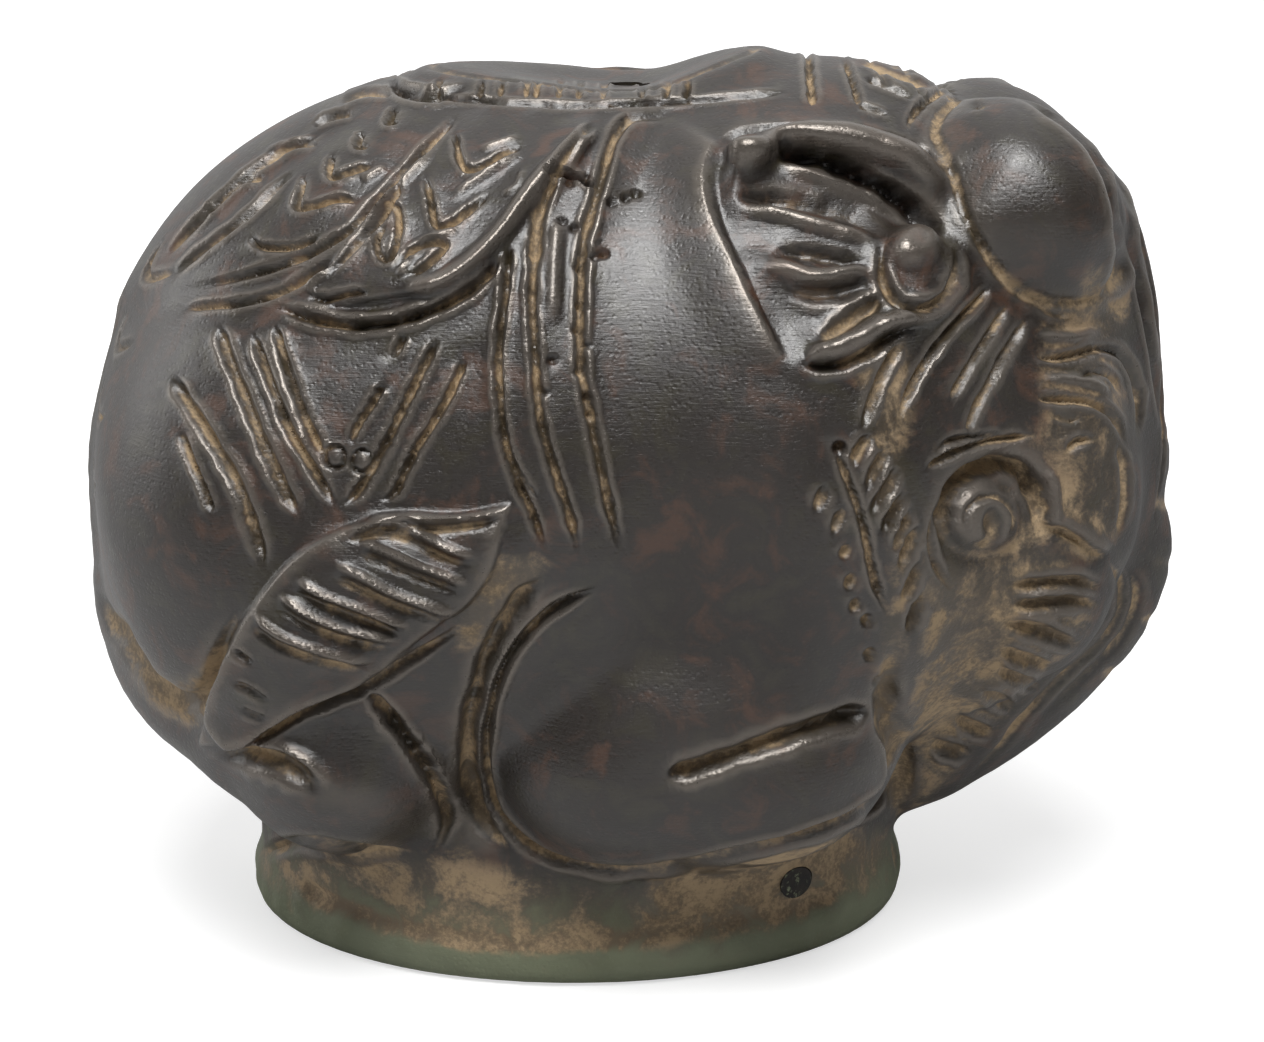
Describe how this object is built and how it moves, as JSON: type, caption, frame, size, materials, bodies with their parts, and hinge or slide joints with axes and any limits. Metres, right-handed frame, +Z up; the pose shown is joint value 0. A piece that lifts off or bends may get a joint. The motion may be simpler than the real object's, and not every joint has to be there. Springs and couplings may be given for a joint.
{
  "type": "calligraphy water dropper",
  "caption": "Small hollow bronze water dropper in the form of a crouched elephant with saddle cloth on an oval foot, with a filling hole in the seat and a pouring hole in the brow.",
  "frame": {"origin": "middle of the box of the whole object, on the table", "axes": "+X towards the trunk, +Y towards the animal's left, +Z up"},
  "size_m": [0.0805, 0.0535, 0.0641],
  "materials": {
    "bronze": "dark brown patina, polished by handling",
    "plate": "dull, with green corrosion",
    "solder": "dull grey, tarnished",
    "plug": "dark, filed flush"
  },
  "bodies": {
    "root": {"body_casting": "bronze", "base_plate": "plate", "solder_seam": "solder", "core_plugs": "plug"}
  },
  "joints": []
}
